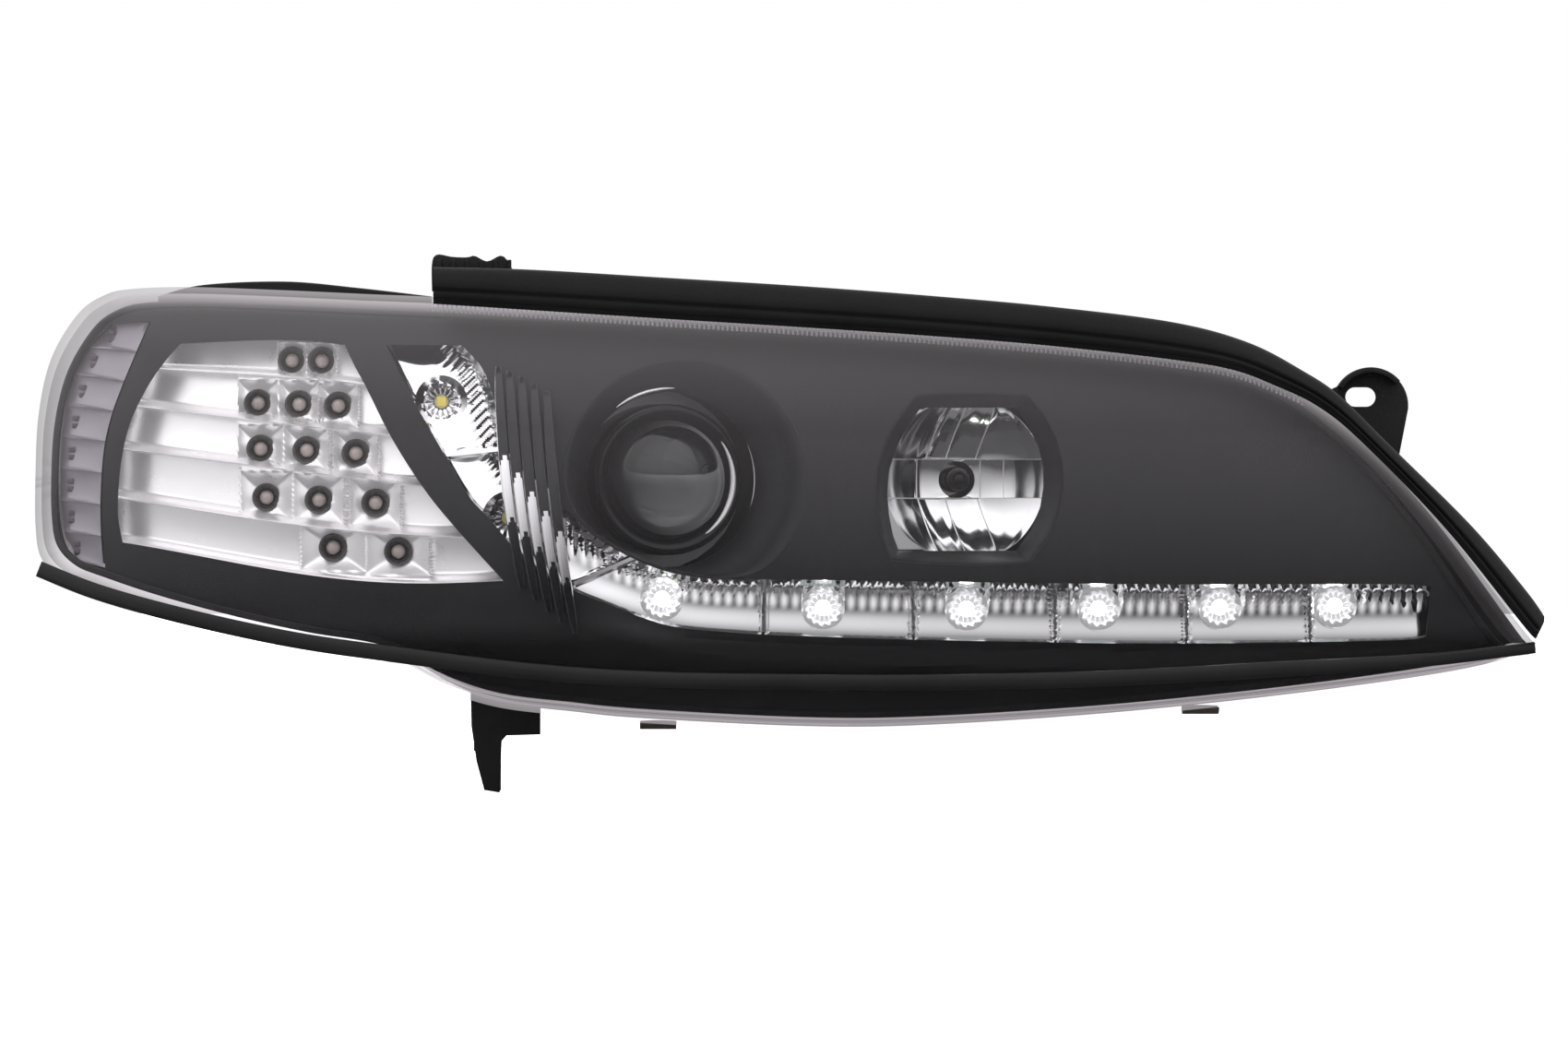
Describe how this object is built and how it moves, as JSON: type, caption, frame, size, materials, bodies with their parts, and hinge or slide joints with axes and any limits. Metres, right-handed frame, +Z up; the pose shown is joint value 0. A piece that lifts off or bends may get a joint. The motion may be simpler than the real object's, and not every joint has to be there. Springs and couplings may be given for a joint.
{
  "type": "car headlight assembly",
  "caption": "Wrap-around car headlight with clear lens, black bezel, projector low beam, high-beam bowl, LED indicator, daylight strip and an aimable optics carrier.",
  "frame": {"origin": "the inboard ear's back face, 8 mm below its slot", "axes": "+X along the lens towards the grille, +Y back into the car, +Z up; the beams look 12 degrees off -Y, towards +X"},
  "size_m": [0.6008, 0.2103, 0.214],
  "materials": {
    "black_plastic": "fine-grained black moulding",
    "bezel_black": "satin black",
    "chrome": "bright vacuum-metallised plastic",
    "clear_plastic": "polished clear polycarbonate",
    "rubber": "matt black",
    "steel": "zinc-plated",
    "cast_metal": "as die-cast",
    "glass": "clear",
    "board_green": "lacquered circuit board",
    "led_cream": "pale yellow",
    "grey_lens": "ribbed, faint lilac grey",
    "nylon": "natural nylon"
  },
  "bodies": {
    "housing": {"bezel": "bezel_black", "bottom_trim_strip": "black_plastic", "daylight_board": "board_green", "daylight_led_1": "led_cream", "daylight_led_2": "led_cream", "daylight_led_3": "led_cream", "daylight_led_4": "led_cream", "daylight_led_5": "led_cream", "daylight_led_6": "led_cream", "daylight_led_7": "led_cream", "daylight_led_8": "led_cream", "daylight_reflector": "chrome", "driver_screw_inboard": "steel", "driver_screw_outboard": "steel", "fin_lens": "clear_plastic", "front_lens": "clear_plastic", "harness_cable": "rubber", "housing": "black_plastic", "indicator_led_row_1": "board_green", "indicator_led_row_2": "board_green", "indicator_led_row_3": "board_green", "indicator_led_row_4": "board_green", "indicator_led_row_5": "board_green", "indicator_reflector": "chrome", "led_driver": "cast_metal", "lens_clip_inboard": "steel", "lens_clip_outboard": "steel", "level_motor": "black_plastic", "main_connector": "black_plastic", "pivot_ball_stud": "steel", "sealant_bead": "rubber", "side_marker_board": "board_green", "side_marker_lens": "grey_lens", "top_seal_strip": "rubber", "vent_cap_inboard": "rubber", "vent_cap_outboard": "rubber"},
    "optics": {"cutoff_shield": "steel", "cutoff_shield_ring": "cast_metal", "high_beam_bulb": "glass", "high_beam_bulb_seat": "black_plastic", "high_beam_plug": "black_plastic", "high_beam_reflector": "chrome", "low_beam_bulb": "glass", "low_beam_bulb_seat": "black_plastic", "low_beam_plug": "black_plastic", "optics_carrier": "black_plastic", "projector_lens": "glass", "projector_lens_holder": "cast_metal", "projector_reflector": "cast_metal"},
    "pivot_socket": {"pivot_socket": "nylon"},
    "pan_rod": {"pan_rod": "steel"},
    "pan_wheel": {"pan_wheel": "nylon"},
    "level_spindle": {"level_spindle": "nylon"},
    "level_knob": {"level_knob": "nylon"},
    "low_clip": {"low_beam_bulb_clip": "steel"},
    "high_clip": {"high_beam_bulb_clip": "steel"},
    "low_cap": {"low_beam_cap": "rubber"},
    "high_cap": {"high_beam_cap": "rubber"}
  },
  "joints": [
    {"name": "aim_pan", "type": "hinge", "parent": "housing", "child": "pivot_socket", "pos_m": [-0.22948, 0.04451, 0.014], "axis": [0, 0, 1], "range_deg": [-2.5, 2.5]},
    {"name": "aim_tilt", "type": "hinge", "parent": "pivot_socket", "child": "optics", "pos_m": [-0.22948, 0.04451, 0.014], "axis": [0.9781, 0.2079, 0], "range_deg": [-3, 3]},
    {"name": "pan_rod_slide", "type": "slide", "parent": "housing", "child": "pan_rod", "axis": [-0.2079, 0.9781, 0], "range_m": [-0.0055, 0.0055]},
    {"name": "pan_wheel_turn", "type": "hinge", "parent": "housing", "child": "pan_wheel", "pos_m": [-0.36188, 0.10225, 0.014], "axis": [-0.2079, 0.9781, 0], "range_deg": [-190, 190]},
    {"name": "level_spindle_slide", "type": "slide", "parent": "housing", "child": "level_spindle", "axis": [-0.2079, 0.9781, 0], "range_m": [-0.0045, 0.0045]},
    {"name": "level_knob_turn", "type": "hinge", "parent": "housing", "child": "level_knob", "pos_m": [-0.25489, 0.13521, -0.074], "axis": [-0.2079, 0.9781, 0], "range_deg": [-160, 160]},
    {"name": "low_clip_swing", "type": "hinge", "parent": "optics", "child": "low_clip", "pos_m": [-0.2947, 0.07481, -0.037], "axis": [-0.9781, -0.2079, 0], "range_deg": [0, 95]},
    {"name": "high_clip_swing", "type": "hinge", "parent": "optics", "child": "high_clip", "pos_m": [-0.16434, 0.0146, -0.037], "axis": [-0.9781, -0.2079, 0], "range_deg": [0, 95]},
    {"name": "low_cap_pull", "type": "slide", "parent": "housing", "child": "low_cap", "axis": [-0.2079, 0.9781, 0], "range_m": [0, 0.04]},
    {"name": "high_cap_pull", "type": "slide", "parent": "housing", "child": "high_cap", "axis": [-0.2079, 0.9781, 0], "range_m": [0, 0.04]}
  ],
  "couplings": [
    {"joint": "pan_rod_slide", "follows": "aim_pan", "m_per_rad": -0.1175},
    {"joint": "pan_wheel_turn", "follows": "aim_pan", "ratio": 73.827},
    {"joint": "level_spindle_slide", "follows": "aim_tilt", "m_per_rad": 0.08},
    {"joint": "level_knob_turn", "follows": "aim_tilt", "ratio": -50.266}
  ]
}
